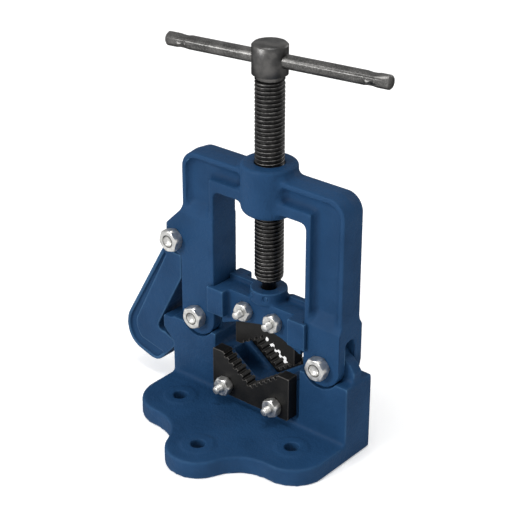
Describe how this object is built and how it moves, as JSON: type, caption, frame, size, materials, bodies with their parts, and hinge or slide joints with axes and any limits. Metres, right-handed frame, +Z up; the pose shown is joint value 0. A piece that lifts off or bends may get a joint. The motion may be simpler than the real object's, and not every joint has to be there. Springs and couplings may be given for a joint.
{
  "type": "yoke pipe vise",
  "caption": "Bench pipe vise: three-lobed foot with toothed V jaws, hinged window yoke, side latch hook and a clamping screw with a T-bar.",
  "frame": {"origin": "underside of the foot, on the axis of the clamping screw", "axes": "+X to the right along the width of the yoke, towards its hinge; -Y to the front, where the foot reaches; +Z up along the screw"},
  "size_m": [0.2303, 0.1314, 0.3],
  "materials": {
    "painted_casting": "satin blue enamel on a sand casting",
    "blackened_jaw_steel": "black oxide with worn tooth edges",
    "dark_steel": "dark oiled turned steel",
    "zinc_plated_steel": "bright zinc plate"
  },
  "bodies": {
    "vise_base": {"base": "painted_casting", "lower_jaw_front": "blackened_jaw_steel", "lower_jaw_rear": "blackened_jaw_steel", "lower_jaw_bolt_left": "zinc_plated_steel", "lower_jaw_bolt_right": "zinc_plated_steel", "lower_jaw_nut_left": "zinc_plated_steel", "lower_jaw_nut_right": "zinc_plated_steel"},
    "yoke_frame": {"yoke": "painted_casting", "yoke_pivot_bolt": "zinc_plated_steel", "yoke_pivot_nut": "zinc_plated_steel", "yoke_seat_bolt": "zinc_plated_steel", "yoke_seat_nut": "zinc_plated_steel", "latch_pivot_bolt": "zinc_plated_steel", "latch_pivot_nut": "zinc_plated_steel"},
    "latch": {"latch_hook": "painted_casting"},
    "jaw_carrier": {"saddle": "painted_casting", "upper_jaw": "blackened_jaw_steel", "upper_jaw_bolt_left": "zinc_plated_steel", "upper_jaw_bolt_right": "zinc_plated_steel", "upper_jaw_nut_left": "zinc_plated_steel", "upper_jaw_nut_right": "zinc_plated_steel", "screw_retaining_pin_left": "dark_steel", "screw_retaining_pin_right": "dark_steel"},
    "clamp_screw": {"screw": "dark_steel"},
    "t_bar": {"handle_bar": "dark_steel"}
  },
  "joints": [
    {"name": "yoke_swing", "type": "hinge", "parent": "vise_base", "child": "yoke_frame", "pos_m": [0.0595, 0, 0.072], "axis": [0, 1, 0], "range_deg": [0, 48]},
    {"name": "latch_swing", "type": "hinge", "parent": "yoke_frame", "child": "latch", "pos_m": [-0.082, 0, 0.1305], "axis": [0, 1, 0], "range_deg": [0, 57.6]},
    {"name": "jaw_slide", "type": "slide", "parent": "yoke_frame", "child": "jaw_carrier", "axis": [0, 0, 1], "range_m": [-0.018, 0.057]},
    {"name": "screw_turn", "type": "hinge", "parent": "jaw_carrier", "child": "clamp_screw", "pos_m": [0, 0, 0.1], "axis": [0, 0, 1], "range_deg": [-2160, 6840]},
    {"name": "handle_slide", "type": "slide", "parent": "clamp_screw", "child": "t_bar", "axis": [0.9877, 0.1564, 0], "range_m": [-0.06, 0.05]}
  ],
  "couplings": [
    {"joint": "latch_swing", "follows": "yoke_swing", "ratio": 1.2},
    {"joint": "screw_turn", "follows": "jaw_slide", "rad_per_m": 2094.4}
  ]
}
